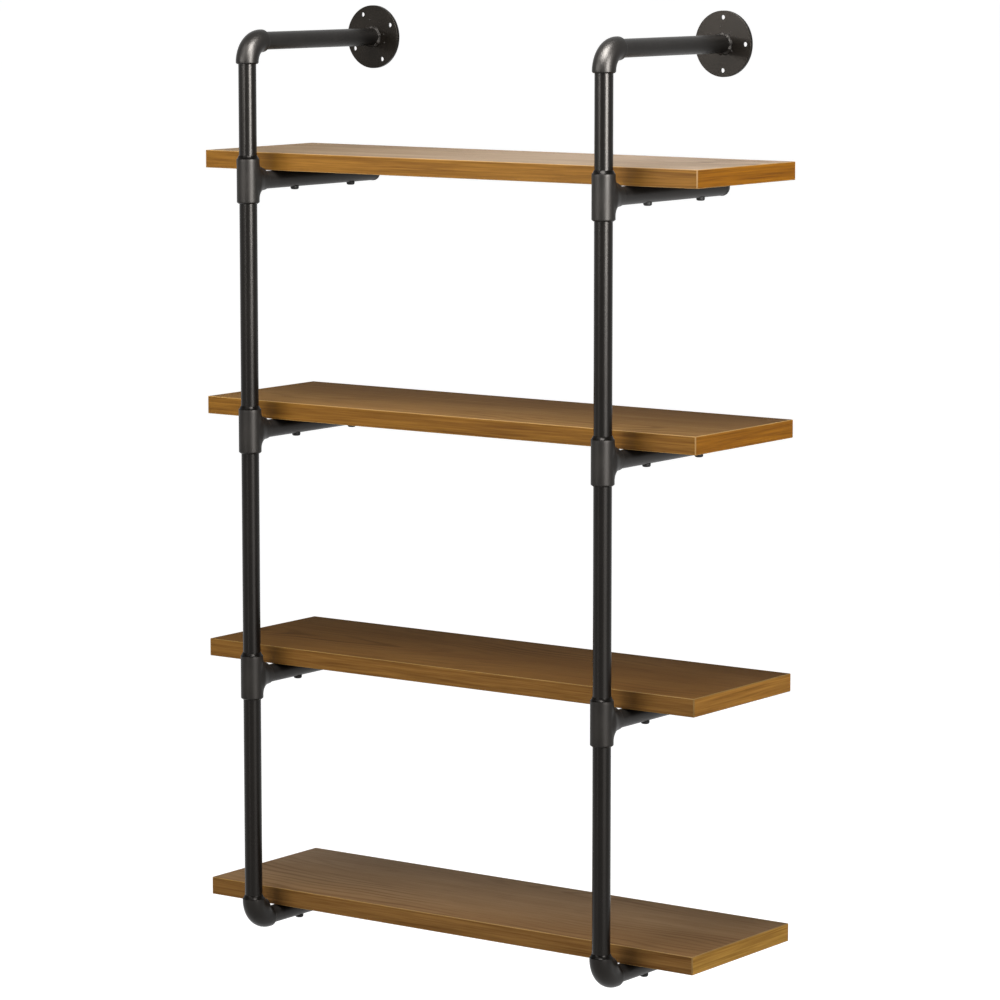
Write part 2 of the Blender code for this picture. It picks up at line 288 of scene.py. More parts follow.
# deep and worn are the colour in its darker and lighter patches;
# patch and peel count tone patches and ripples to a metre
usualPaint = {"specular": 0.17, "glossTint": (1.0, 0.94, 0.88), "patch": 30.0, "peel": 900.0}
paintSettings = {
    "tubePaint": {"deep": (0.0022, 0.0018, 0.0015), "worn": (0.005, 0.0041, 0.0034), "specular": 0.15,
                  "roughness": (0.26, 0.28), "patch": 9.0, "peel": 420.0, "peelDepth": 0.003 * mm},
    # the shelf arms', duller than the uprights'
    "armPaint": {"deep": (0.0046, 0.0038, 0.0032), "worn": (0.0088, 0.0075, 0.0065), "specular": 0.18,
                 "roughness": (0.4, 0.46), "patch": 12.0, "peel": 420.0, "peelDepth": 0.01 * mm},
    "castPaint": {"deep": (0.0035, 0.0029, 0.0024), "worn": (0.0085, 0.0073, 0.0062),
                  "roughness": (0.38, 0.46), "peelDepth": 0.05 * mm},
    # on the upper cones and rims of tees and bottom elbows
    "collarPaint": {"deep": (0.0022, 0.0018, 0.0015), "worn": (0.005, 0.0041, 0.0034), "specular": 0.03,
                    "roughness": (0.25, 0.3), "peelDepth": 0.008 * mm},
    # the elbows' and top arms', which shine more than the tees
    "elbowPaint": {"deep": (0.0024, 0.002, 0.0017), "worn": (0.0052, 0.0044, 0.0037),
                   "roughness": (0.36, 0.4), "peelDepth": 0.003 * mm},
    "discPaint": {"deep": (0.0038, 0.0029, 0.002), "worn": (0.0074, 0.0059, 0.0044), "specular": 0.09,
                  "glossTint": (1.0, 0.9, 0.8), "roughness": (0.31, 0.36), "patch": 40.0, "peel": 700.0,
                  "peelDepth": 0.04 * mm},
    "weldPaint": {"deep": (0.01, 0.009, 0.008), "worn": (0.026, 0.023, 0.021), "specular": 0.08,
                  "roughness": (0.6, 0.66), "patch": 120.0, "peelDepth": 0.01 * mm},
}
paintGrain = {"patchDetail": 4.0, "patchRoughness": 0.6, "patchRange": (0.3, 0.7), "peelDetail": 2.0}


def paintMaterial(name, paint, grain):
    constants = {"Specular IOR Level": paint["specular"], "Specular Tint": (*paint["glossTint"], 1.0)}
    tree, shader, place = newMaterial(name, constants)
    patches = noiseAt(tree, place, paint["patch"], grain["patchDetail"], grain["patchRoughness"])
    tone = remapped(tree, patches, grain["patchRange"])
    colourFrom(tree, shader, mixed(tree, tone, paint["deep"], paint["worn"]))
    tree.links.new(remapped(tree, tone, (0.0, 1.0), paint["roughness"]), shader.inputs["Roughness"])
    bumped(tree, shader, noiseAt(tree, place, paint["peel"], grain["peelDetail"]), paint["peelDepth"])


plainSettings = {
    "capPlastic": {"colour": (0.012, 0.012, 0.012), "lighter": (0.024, 0.024, 0.025),
                   "surface": {"Roughness": 0.55, "Metallic": 0.0}, "grain": 1500.0, "depth": 0.02 * mm},
    "screwBlack": {"colour": (0.006, 0.006, 0.006), "lighter": (0.016, 0.015, 0.014),
                   "surface": {"Roughness": 0.6, "Metallic": 0.6}, "grain": 700.0, "depth": 0.02 * mm},
}


def plainMaterial(name, finish):
    tree, shader, place = newMaterial(name, finish["surface"])
    grain = noiseAt(tree, place, finish["grain"])
    colourFrom(tree, shader, mixed(tree, grain, finish["colour"], finish["lighter"]))
    bumped(tree, shader, grain, finish["depth"])


for name, values in paintSettings.items():
    paintMaterial(name, {**usualPaint, **values}, paintGrain)
for name, values in plainSettings.items():
    plainMaterial(name, values)
print("paint materials made")


# Wood print

woodSettings = {
    "dark": (0.14, 0.074, 0.029),
    "middle": (0.22, 0.121, 0.05),
    "light": (0.3, 0.176, 0.078),
    "figure": (0.085, 0.043, 0.016),  # arches and pores of the print
    "surface": {"Roughness": 0.75, "Specular IOR Level": 0.01},
    "drift": (2.5, 14.0, 14.0),  # broad changes of tone to a metre, along and across
    "streak": (7.0, 330.0, 330.0),  # grain streaks to a metre
    "pore": (30.0, 1300.0, 1300.0),
    "noise": (4.0, 0.6),  # detail and roughness of drift and streaks
    "fineDetail": 2.0,  # detail of arches and pores
    "driftShare": 0.6,  # how much of the tone is drift and not streaks
    "toneRange": (0.22, 0.78),
    "arch": (0.13, 1.0, 1.0),  # how far the arches are drawn out along the board
    "archPitch": 9 * mm,
    "archWarp": 64 * mm,  # how far noise pushes them about
    "archBend": (3.0, 12.0, 12.0),  # pushes to a metre
    "archDistortion": 1.5,
    "archLine": (0.55, 0.95),  # where in each ring its line starts and is full
    "archPatch": (4.0, 16.0, 16.0),  # patches to a metre where arches may show
    "archPatchOffset": (5, 5, 0),
    "archPatchRange": (0.45, 0.7),
    "archStrength": 0.55,
    "poreRange": (0.58, 0.72),
    "poreStrength": 0.5,
    "poreDepth": 0.05 * mm,
}

# how each board departs from the print's own colours, in multiples: its top, then its strip's face, ends and
# bare edges.
# Most of it is painted light and painted sheen, with a little of each board's own tone: the top board's top
# is painted paler and brighter, each top's tone changes from back to front and from left to right with
# painted light and sheen, and the strips are painted lighter on the upper boards.
printTintsAndPaintedLight = [
    {"back": (1.3, 1.62, 2.35), "front": (1.2, 1.5, 2.15),
     "left": (0.88, 0.9, 0.93), "right": (1.22, 1.36, 1.68),
     "strip": (0.747, 0.703, 0.508), "ends": (1.0, 0.79, 0.15), "core": (0.72, 0.7, 0.73)},
    {"back": (0.595, 0.594, 0.64), "front": (0.896, 0.867, 0.69),
     "left": (0.96, 0.96, 0.96), "right": (1.0, 1.0, 1.0),
     "strip": (0.637, 0.593, 0.45), "ends": (0.91, 0.74, 0.24), "core": (0.66, 0.64, 0.56)},
    {"back": (0.45, 0.432, 0.403), "front": (0.58, 0.5, 0.31),
     "left": (0.92, 0.92, 0.9), "right": (1.02, 1.0, 1.0),
     "strip": (0.557, 0.548, 0.632), "ends": (1.0, 0.97, 0.9), "core": (0.38, 0.35, 0.23)},
    {"back": (0.93, 1.09, 1.5), "front": (0.84, 0.82, 0.8),
     "left": (1.12, 1.2, 1.35), "right": (0.86, 0.84, 0.8),
     "strip": (0.522, 0.533, 0.752), "ends": (1.17, 1.3, 1.3), "core": (0.45, 0.43, 0.38)},
]

# where each board's print starts: along, across, and a third number for the noise
printOffsets = [(0.31, 0.052, 1.7), (-0.12, 0.131, 4.1), (0.47, 0.094, 7.9), (-0.22, 0.012, 2.6)]


def archFigure(tree, moved, wood):
    # rings drawn out along the board and bent by noise; they show in patches
    middleGrey = (0.5, 0.5, 0.5)
    ringSpan = math.pi / 10  # metres from ring to ring at a scale of 1
    bend = grainAt(tree, moved, wood["archBend"], wood["fineDetail"], output="Color")
    push = vectorNode(tree, "SCALE", vectorNode(tree, "SUBTRACT", bend, middleGrey), wood["archWarp"])
    bent = vectorNode(tree, "ADD", stretched(tree, moved, wood["arch"]), push)
    values = {"Vector": bent, "Scale": ringSpan / wood["archPitch"],
              "Distortion": wood["archDistortion"], "Detail": wood["fineDetail"]}
    rings = addNode(tree, "TexWave", values, wave_type="RINGS", rings_direction="Z")["Fac"]
    patches = grainAt(tree, moved, wood["archPatch"], wood["fineDetail"], offset=wood["archPatchOffset"])
    shown = mathNode(tree, "MULTIPLY", remapped(tree, patches, wood["archPatchRange"]), wood["archStrength"])
    return mathNode(tree, "MULTIPLY", remapped(tree, rings, wood["archLine"]), shown)


def boardTopMaterial(name, wood, offset, tintsAndPaintedLight, low, high):
    tree, shader, place = newMaterial(name, wood["surface"])
    moved = stretched(tree, place, (1, 1, 1), offset)
    drift = grainAt(tree, moved, wood["drift"], *wood["noise"])
    streaks = grainAt(tree, moved, wood["streak"], *wood["noise"])
    tone = remapped(tree, mixedTones(tree, drift, streaks, wood["driftShare"]), wood["toneRange"])
    base = mixed(tree, remapped(tree, tone, (0.0, 0.5)), wood["dark"], wood["middle"])
    base = mixed(tree, remapped(tree, tone, (0.5, 1.0)), base, wood["light"])
    base = mixed(tree, archFigure(tree, moved, wood), base, wood["figure"])
    pores = remapped(tree, grainAt(tree, moved, wood["pore"], wood["fineDetail"]), wood["poreRange"])
    pored = mathNode(tree, "MULTIPLY", pores, wood["poreStrength"])
    base = mixed(tree, pored, base, wood["figure"])
    # the tints, painted light and painted sheen more than the board's own tone, run from left to right and
    # from back to front
    parts = addNode(tree, "SeparateXYZ", {0: place})
    along = mixed(tree, remapped(tree, parts["X"], (low.x, high.x)), tintsAndPaintedLight["left"], tintsAndPaintedLight["right"])
    across = mixed(tree, remapped(tree, parts["Y"], (high.y, low.y)), tintsAndPaintedLight["back"], tintsAndPaintedLight["front"])
    colourFrom(tree, shader, base, mixed(tree, 1.0, along, across, "MULTIPLY"))
    bumped(tree, shader, mathNode(tree, "SUBTRACT", streaks, pores), wood["poreDepth"])


edgeSettings = {
    "dark": (0.19, 0.078, 0.01),
    "light": (0.45, 0.218, 0.04),
    "surface": {"Roughness": 0.55, "Specular IOR Level": 0.06},
    "streak": (14.0, 600.0, 1.0),  # grain streaks to a metre, along and across the strip
    "streakNoise": (4.0, 0.65),  # detail and roughness
    "coarse": (8.0, 250.0, 1.0),
    "coarseNoise": (3.0, 0.55),
    "streakShare": 0.55,  # how much of the tone is streaks and not coarse grain
    "toneRange": (0.34, 0.66),
    "endFacing": 0.7,  # faces that look along X more than this are the ends
    "depth": 0.04 * mm,
    "core": (0.66, 0.4, 0.13),  # bare strip where the print is trimmed off
    "coreDark": (0.52, 0.29, 0.08),
    "coreStreak": (40.0, 40.0, 500.0),
    "coreSurface": {"Roughness": 0.6, "Specular IOR Level": 0.1},
}


def edgePrintMaterial(name, edge, offset, tintsAndPaintedLight):
    # the grain runs round the board with the strip: along X at front and back, along Y at the ends
    tree, shader, place = newMaterial(name, edge["surface"])
    parts = addNode(tree, "SeparateXYZ", {0: place})
    facing = addNode(tree, "NewGeometry")["True Normal"]
    sideways = addNode(tree, "SeparateXYZ", {0: facing})["X"]
    onEnd = mathNode(tree, "GREATER_THAN", mathNode(tree, "ABSOLUTE", sideways), edge["endFacing"])
    # sockets 2 and 3 are a number mix's two numbers
    run = addNode(tree, "Mix", {0: onEnd, 2: parts["X"], 3: parts["Y"]}, data_type="FLOAT")[0]
    flat = addNode(tree, "CombineXYZ", {0: run, 1: parts["Z"], 2: onEnd})[0]
    moved = stretched(tree, flat, (1, 1, 1), offset)
    streak = grainAt(tree, moved, edge["streak"], *edge["streakNoise"])
    coarse = grainAt(tree, moved, edge["coarse"], *edge["coarseNoise"])
    tone = remapped(tree, mixedTones(tree, streak, coarse, edge["streakShare"]), edge["toneRange"])
    printed = mixed(tree, tone, edge["dark"], edge["light"])
    # the strip and end tints are painted light: the strips lighter on the upper boards, the ends set board by
    # board
    colourFrom(tree, shader, printed, mixed(tree, onEnd, tintsAndPaintedLight["strip"], tintsAndPaintedLight["ends"]))
    bumped(tree, shader, streak, edge["depth"])


def edgeCoreMaterial(name, edge, tintsAndPaintedLight):
    tree, shader, place = newMaterial(name, edge["coreSurface"])
    grain = grainAt(tree, place, edge["coreStreak"])
    # the per-board core tint is painted light; the core colour itself is the bare edge's
    colourFrom(tree, shader, mixed(tree, grain, edge["coreDark"], edge["core"]), tintsAndPaintedLight["core"])
    bumped(tree, shader, grain, edge["depth"])


# Boards and their edge bands

boardSettings = {
    "bandWidth": 1.0 * mm,  # strip glued round the board
    "trim": 0.65 * mm,  # rounding the trimmer leaves along the strip's top and bottom edges
    "trimSteps": 4,
    "cornerRound": 1.0 * mm,  # upright corners
    "leastRound": 0.05 * mm,  # of the corners on the strip's inside
    "cornerSteps": 4,
    "boardBevel": 0.15 * mm,  # edges of the board inside the strip
    "pilot": 2.3 * mm,  # radius of the blind holes for the screws
    "pilotSpare": 1.0 * mm,  # how far they go past the screw's tip
    "pilotFacets": 24,
}


def cornerLoop(low, high, rounding, steps):
    # rectangle with rounded corners, as (x, y, on a corner) points
    points = []
    for xSide, ySide, start in ((1, 1, 0), (-1, 1, 90), (-1, -1, 180), (1, -1, 270)):
        centreX = (high.x if xSide > 0 else low.x) - xSide * rounding
        centreY = (high.y if ySide > 0 else low.y) - ySide * rounding
        for step in range(steps + 1):
            angle = math.radians(start + 90 * step / steps)
            x = centreX + rounding * math.cos(angle)
            y = centreY + rounding * math.sin(angle)
            points.append((x, y, step < steps))
    return points


def boardMesh(name, low, high, number, sizes):
    # the laminated board inside its strip, edges bevelled, with blind pilot holes from below
    bm = bmesh.new()
    bmesh.ops.create_cube(bm, size=1.0)
    inset = Vector((1, 1, 0)) * sizes["bandWidth"] * 2
    bmesh.ops.scale(bm, vec=high - low - inset, verts=bm.verts)
    bmesh.ops.translate(bm, vec=(high + low) / 2, verts=bm.verts)
    bmesh.ops.bevel(bm, geom=bm.edges[:], offset=sizes["boardBevel"], segments=1, affect="EDGES")
    radius = sizes["pilot"]
    bottom = low.z - sizes["pilotSpare"]
    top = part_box(f"left_front_screw_{number}")[1].z + sizes["pilotSpare"]
    hole = [(0, bottom), (radius, bottom), (radius, top), (0, top)]
    places = [nodeCentre(f"{side}_{end}_screw_{number}").xy for side in sides for end in ("front", "rear")]
    return drilledMesh(meshFrom(bm, name), name, hole, sizes["pilotFacets"], places)


def bandMesh(name, low, high, sizes):
    # strip round the board: printed face, trimmed and rounded bare edges, bare upright corners
    rounding = sizes["cornerRound"]
    trim = sizes["trim"]
    half = (high.z - low.z) / 2
    middle = (high.z + low.z) / 2
    # points of (inset from the outside, height, bare below this point)
    section = [(sizes["bandWidth"], half, True)]
    for step in range(sizes["trimSteps"] + 1):
        angle = math.radians(90 * step / sizes["trimSteps"])
        height = half - trim * (1 - math.cos(angle))
        section.append((trim * (1 - math.sin(angle)), height, step < sizes["trimSteps"]))
    section += [(inset, -height, True) for inset, height, bare in reversed(section)]
    bm = bmesh.new()
    loops = []
    for inset, height, bare in section:
        shrink = Vector((inset, inset, 0))
        loopRound = max(rounding - inset, sizes["leastRound"])
        loop = cornerLoop(low + shrink, high - shrink, loopRound, sizes["cornerSteps"])
        loops.append([bm.verts.new((x, y, middle + height)) for x, y, onCorner in loop])
    corners = [onCorner for x, y, onCorner in cornerLoop(low, high, rounding, sizes["cornerSteps"])]
    for row, (inset, height, bare) in enumerate(section):
        faces = joinLoops(bm, loops[row], loops[(row + 1) % len(loops)])
        for face, onCorner in zip(faces, corners):
            face.material_index = 1 if bare or onCorner else 0
    mesh = meshFrom(bm, name)
    for face in mesh.polygons:
        face.use_smooth = face.material_index == 1  # only the bare edges are shaded round
    return mesh


def addBoards():
    for row in range(rowCount):
        number = row + 1
        low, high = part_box(f"edge_band_{number}")
        offset = printOffsets[row % len(printOffsets)]
        # each board's tints carry its painted light and sheen
        tintsAndPaintedLight = printTintsAndPaintedLight[row % len(printTintsAndPaintedLight)]
        boardTopMaterial(f"boardPrintPaintedLight{number}", woodSettings, offset, tintsAndPaintedLight, low, high)
        edgePrintMaterial(f"edgePrint{number}", edgeSettings, offset, tintsAndPaintedLight)
        edgeCoreMaterial(f"edgeCore{number}", edgeSettings, tintsAndPaintedLight)
        board = boardMesh(f"shelfBoard{number}", low, high, number, boardSettings)
        addPiece(f"shelfBoard{number}", board, [f"boardPrintPaintedLight{number}"], [f"shelf_board_{number}"])
        band = bandMesh(f"edgeBand{number}", low, high, boardSettings)
        addPiece(f"edgeBand{number}", band, [f"edgePrint{number}", f"edgeCore{number}"],
                 [f"edge_band_{number}"])


addBoards()
print("boards made")


# Pipes

pipeSettings = {
    "wall": 2.0 * mm,
    "endRound": 0.35 * mm,  # edges of a cut end
    "support": 1.0 * mm,  # a ring this far from each end keeps the long faces' shading straight
    "facets": 72,
}


def pipeMesh(name, radius, length, pipe):
    bore = radius - pipe["wall"]
    rounding = pipe["endRound"]
    support = pipe["support"]
    corners = [(radius, 0, rounding), (radius, support, 0), (radius, length - support, 0),
               (radius, length, rounding), (bore, length, rounding), (bore, 0, rounding)]
    return turnedMesh(name, roundedProfile(corners), pipe["facets"], closed=True)


def addPipe(node, pieceName, paint):
    low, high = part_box(node)
    size = high - low
    centre = (low + high) / 2
    radius = nodeRadius(node)
    if size.z > size.y:
        mesh = pipeMesh(pieceName, radius, size.z, pipeSettings)
        start = Vector((centre.x, centre.y, low.z))
    else:
        mesh = pipeMesh(pieceName, radius, size.y, pipeSettings)
        mesh.transform(Matrix.Rotation(math.radians(-90), 4, "X"))
        start = Vector((centre.x, low.y, centre.z))
    mesh.transform(Matrix.Translation(start))
    addPiece(pieceName, mesh, [paint], [node])


for side in sides:
    for number in range(1, rowCount + 1):
        addPipe(f"{side}_upright_{number}", f"{side}Upright{number}", "tubePaint")
        addPipe(f"{side}_shelf_arm_{number}", f"{side}ShelfArm{number}", "armPaint")
print("pipes made")


# Elbows

fittingSettings = {
    "facets": 72,
    "rimRound": 0.45 * mm,
    "mouthRound": 0.2 * mm,  # inner edge of a rear socket
    "socketRadius": 9.15 * mm,
    "stop": 12.5 * mm,  # from where the axes cross to each socket's inner end
    "collar": 3.4 * mm,  # cone that stands above an upper rim, round the pipe
    "collarRadius": 9.3 * mm,  # its upper edge
    "ledge": (10.7 * mm, 0.4 * mm),  # radius and height of its lower edge, where the flat rim starts
    "ledgeRound": 0.5 * mm,  # outer edge of the flat rim
    "foot": (1.7 * mm, 1.3 * mm),  # chamfer of a tee's lower rim: inwards, and up
    "elbowFoot": (1.1 * mm, 1.2 * mm),  # the same of a top elbow
    "footRound": (0.3 * mm, 0.8 * mm),  # the chamfer's two edges
    "bendSteps": 28,
    "straight": 1.5 * mm,  # at the upright end, before the bend starts
    "innerFill": 6.0 * mm,  # how far a bottom elbow's inner corner is filled
    "fillPower": 1.2,  # how gently the filling starts and ends
}


def bentRing(centre, outward, radius, facets, swell=0.0):
    # points round a centre, in the plane of outward and X, swollen on the side away from outward
    ring = []
    for step in range(facets):
        turn = 2 * math.pi * step / facets
        here = radius + swell * max(-math.cos(turn), 0.0) ** 2
        ring.append(centre + outward * here * math.cos(turn) + Vector((here * math.sin(turn), 0, 0)))
    return ring


def elbowMesh(name, reach, rear, radius, uprightSide, fitting):
    # quarter bend between a socket for the upright and one for the arm; its axes cross at 0
    straight = fitting["straight"]
    facets = fitting["facets"]
    bend = reach - straight
    upright = Vector((0, 0, uprightSide))
    arm = Vector((0, 1, 0))
    bendLength = bend * math.pi / 2
    total = straight + bendLength + rear - bend
    fill = fitting["innerFill"] if uprightSide > 0 else 0.0

    def ringAlong(distance, ringRadius):
        # a ring across the elbow, this far along it from the upright end
        if distance < straight:
            return bentRing(upright * (reach - distance), -arm, ringRadius, facets)
        if distance < straight + bendLength:
            angle = (distance - straight) / bend
            outward = -arm * math.cos(angle) - upright * math.sin(angle)
            swell = fill * math.sin(2 * angle) ** fitting["fillPower"]
            return bentRing((arm + upright + outward) * bend, outward, ringRadius, facets, swell)
        return bentRing(arm * (bend + distance - straight - bendLength), -upright, ringRadius, facets)

    socket = fitting["socketRadius"]
    stop = fitting["stop"]
    collar = fitting["collar"]
    footIn, footUp = fitting["elbowFoot"]
    innerRound, outerRound = fitting["footRound"]
    ledge, rise = fitting["ledge"]
    if uprightSide > 0:
        edge = [(socket, -collar, 0), (fitting["collarRadius"], -collar, 0), (ledge, -rise, 0),
                (radius, 0, fitting["ledgeRound"])]
    else:
        edge = [(socket, 0, 0), (radius - footIn, 0, innerRound), (radius, footUp, outerRound)]
    mouth = [(socket, 0, fitting["mouthRound"]), (radius, 0, fitting["rimRound"])]
    near, far = [roundedProfile([(socket, stop, 0)] + corners + [(radius, total / 2, 0)])[1:-1]
                 for corners in (edge, mouth)]
    rings = [bentRing(upright * stop, -arm, socket, facets)]
    rings += [ringAlong(point[1], point[0]) for point in near]
    lead = max(point[1] for point in near)
    tail = max(point[1] for point in far)
    for step in range(fitting["bendSteps"] + 1):
        distance = straight + bendLength * step / fitting["bendSteps"]
        if lead < distance < total - tail:
            rings.append(ringAlong(distance, radius))
    rings += [ringAlong(total - point[1], point[0]) for point in reversed(far)]
    rings.append(bentRing(arm * stop, -upright, socket, facets))
    bm = bmesh.new()
    loops = [[bm.verts.new(point) for point in ring] for ring in rings]
    for loop, follower in zip(loops, loops[1:]):
        joinLoops(bm, loop, follower)
    bm.faces.new(loops[0])
    bm.faces.new(loops[-1])
    return meshFrom(bm, name)


def addElbow(node, pieceName, uprightSide):
    low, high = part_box(node)
    radius = nodeRadius(node)
    axisX = (low.x + high.x) / 2
    axisY = low.y + radius
    axisZ = high.z - radius if uprightSide < 0 else low.z + radius
    reach = axisZ - low.z if uprightSide < 0 else high.z - axisZ
    mesh = elbowMesh(pieceName, reach, high.y - axisY, radius, uprightSide, fittingSettings)
    rimStart = reach - fittingSettings["ledge"][1]
    for face in mesh.polygons:
        onRim = uprightSide > 0 and face.center.z > rimStart  # a bottom elbow's cone and rim
        face.material_index = 1 if onRim else 0
    mesh.transform(Matrix.Translation((axisX, axisY, axisZ)))
    addPiece(pieceName, mesh, ["elbowPaint", "collarPaint"], [node])


for side in sides:
    addElbow(f"{side}_top_elbow", f"{side}TopElbow", -1)
    addElbow(f"{side}_bottom_elbow", f"{side}BottomElbow", 1)
print("elbows made")


# Tees

teeSettings = {
    "webTop": 14.0 * mm,  # height of the rear socket above its axis where it leaves the sleeve
    "webBottom": 12.4 * mm,  # depth below it
    "webWidth": 11.0 * mm,  # half width there
    "endRadius": 10.2 * mm,  # its radius at the rear rim
    "topPower": 4.0,  # how late the top falls away
    "taperPower": 1.5,  # how early the rest does
    "blend": 7.5 * mm,  # cast fillet between sleeve and rear socket
    "blendStart": 0.6,  # where it is full, in radii behind the sleeve's axis
    "blendRings": 14,
    "openMargin": 0.75,  # how far the sleeve's opening passes the socket, in blends
    "junction": 1.1,  # how far behind the sleeve the blend ends, in blends
    "columns": 72,
    "rowPitch": 1.2 * mm,
    "leastRows": 8,
    "straightRings": 6,  # between the blend and the rear rim
    "straightStart": 0.3 * mm,
    "probe": 0.02 * mm,  # step for the slope of the surface
    "walks": 8,
}


def teeShape(point, radius, rear, tee):
    # signed distance to the cast surface: below 0 inside, 0 on it
    sleeve = math.hypot(point.x, point.y) - radius
    share = min(max((point.y - radius) / (rear - radius), 0.0), 1.0)
    end = tee["endRadius"]
    falloff = (1 - share) ** tee["taperPower"]
    if point.z > 0:
        height = end + (tee["webTop"] - end) * (1 - share ** tee["topPower"])
    else:
        height = end + (tee["webBottom"] - end) * falloff
    width = end + (tee["webWidth"] - end) * falloff
    branch = (math.hypot(point.x / width, point.z / height) - 1) * min(width, height)
    ease = min(max(point.y / (radius * tee["blendStart"]), 0.0), 1.0)
    reach = tee["blend"] * ease + tiny
    overlap = max(reach - abs(sleeve - branch), 0.0) / reach
    return min(sleeve, branch) - overlap * overlap * reach / 4  # the smaller one, with a smooth change


def ontoShape(point, radius, rear, tee):
    # walks a point down the slope of the distance onto the cast surface
    probe = tee["probe"]
    steps = (Vector((probe, 0, 0)), Vector((0, probe, 0)), Vector((0, 0, probe)))
    for attempt in range(tee["walks"]):
        here = teeShape(point, radius, rear, tee)
        slope = Vector([(teeShape(point + step, radius, rear, tee)
                         - teeShape(point - step, radius, rear, tee)) / (2 * probe) for step in steps])
        if slope.length < tiny:
            break
        point = point - slope * here / slope.length_squared
    return point


def roundSocket(vert, radius, y):
    # the point on a circle round the rear socket's axis, in the direction of another point
    turn = math.atan2(vert.co.x, vert.co.z)
    return Vector((radius * math.sin(turn), y, radius * math.cos(turn)))


def sleeveRings(bm, radius, reach, tee, fitting):
    # the sleeve's rings of points from top to bottom, and its opening's first row and number of rows
    socket = fitting["socketRadius"]
    collar = fitting["collar"]
    footIn, footUp = fitting["foot"]
    innerRound, outerRound = fitting["footRound"]
    ledge, rise = fitting["ledge"]
    outline = roundedProfile([(socket, fitting["stop"], 0), (socket, reach + collar, 0),
                              (fitting["collarRadius"], reach + collar, 0),
                              (ledge, reach + rise, 0), (radius, reach, fitting["ledgeRound"]),
                              (radius, footUp - reach, outerRound), (radius - footIn, -reach, innerRound),
                              (socket, -reach, 0), (socket, -fitting["stop"], 0)])
    firstRow = next(index for index, point in enumerate(outline) if point[0] >= radius - tiny) + 1
    half = tee["webTop"] + tee["blend"] * tee["openMargin"]
    rows = max(tee["leastRows"], round(2 * half / tee["rowPitch"]))
    opening = [(radius, half - 2 * half * step / rows) for step in range(rows + 1)]
    rings = []
    for ringRadius, height in outline[:firstRow] + opening + outline[firstRow:]:
        ring = []
        for column in range(tee["columns"]):
            angle = 2 * math.pi * column / tee["columns"]  # 0 faces +Y
            ring.append(bm.verts.new((ringRadius * math.sin(angle), ringRadius * math.cos(angle), height)))
        rings.append(ring)
    return rings, firstRow, rows


def teeMesh(name, radius, reach, rear, tee, fitting):
    bm = bmesh.new()
    loops, firstRow, openRows = sleeveRings(bm, radius, reach, tee, fitting)
    lastRow = firstRow + openRows
    columns = tee["columns"]
    quarter = columns // 4
    openColumns = set(range(columns - quarter, columns)) | set(range(quarter))
    for row, (loop, follower) in enumerate(zip(loops, loops[1:])):
        joinLoops(bm, loop, follower, openColumns if firstRow <= row < lastRow else ())
    bm.faces.new(loops[0])
    bm.faces.new(loops[-1])
    # edge of the opening in the sleeve's rear half, once round
    across = [(column - quarter) % columns for column in range(2 * quarter + 1)]
    edge = [loops[firstRow][column] for column in across]
    edge += [loops[row][across[-1]] for row in range(firstRow + 1, lastRow)]
    edge += [loops[lastRow][column] for column in reversed(across)]
    edge += [loops[row][across[0]] for row in range(lastRow - 1, firstRow, -1)]
    # rings from the opening to the rear socket's straight part, each point walked onto the cast surface
    end = tee["endRadius"]
    junction = radius + tee["blend"] * tee["junction"]
    rows = [edge]
    for step in range(1, tee["blendRings"] + 1):
        share = step / tee["blendRings"]
        between = [vert.co.lerp(roundSocket(vert, end, junction), share) for vert in edge]
        rows.append([bm.verts.new(ontoShape(point, radius, rear, tee)) for point in between])
    # on to the rim, its rounding, and the socket behind it
    rim = fitting["rimRound"]
    start = max(vert.co.y for vert in rows[-1]) + tee["straightStart"]
    for step in range(tee["straightRings"] + 1):
        y = start + (rear - rim - start) * step / tee["straightRings"]
        level = [Vector((vert.co.x, y, vert.co.z)) for vert in rows[-1]]
        rows.append([bm.verts.new(ontoShape(point, radius, rear, tee)) for point in level])
        for vert in rows[-1]:
            vert.co.y = y
    socket = fitting["socketRadius"]
    closing = roundedProfile([(end, rear - 2 * rim, 0), (end, rear, rim),
                              (socket, rear, fitting["mouthRound"]), (socket, fitting["stop"], 0)])[1:]
    last = rows[-1]
    for ringRadius, y in closing:
        rows.append([bm.verts.new(roundSocket(vert, ringRadius, y)) for vert in last])
    for loop, follower in zip(rows, rows[1:]):
        joinLoops(bm, loop, follower)
    bm.faces.new(rows[-1])
    rimStart = reach - fitting["ledge"][1]
    for face in bm.faces:
        face.material_index = int(face.calc_center_median().z > rimStart)  # the cone and the rim
    return meshFrom(bm, name)


def addTees():
    low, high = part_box("left_tee_1")
    radius = nodeRadius("left_tee_1")
    rear = high.y - low.y - radius
    mesh = teeMesh("tee", radius, (high.z - low.z) / 2, rear, teeSettings, fittingSettings)
    for side in sides:
        for number in range(1, rowCount):
            node = f"{side}_tee_{number}"
            centre = nodeCentre(node)
            place = (centre.x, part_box(node)[0].y + radius, centre.z)
            addPiece(f"{side}Tee{number}", mesh, ["castPaint", "collarPaint"], [node], place)


addTees()
print("tees made")


# Wall flanges with the top arms

flangeSettings = {
    "thickness": 4.0 * mm,
    "edgeRound": 0.35 * mm,
    "holes": 4,
    "holeRadius": (3.6 * mm, 2.2 * mm),  # punched holes, wider at the back
    "punchDepth": 0.8,  # share of the thickness in which they narrow
    "holeMargin": 6.5 * mm,
    "holeFacets": 32,
    "turn": {"left": 28.5, "right": 0.0},  # degrees that the disc is turned, each as welded
    "facets": 96,
}

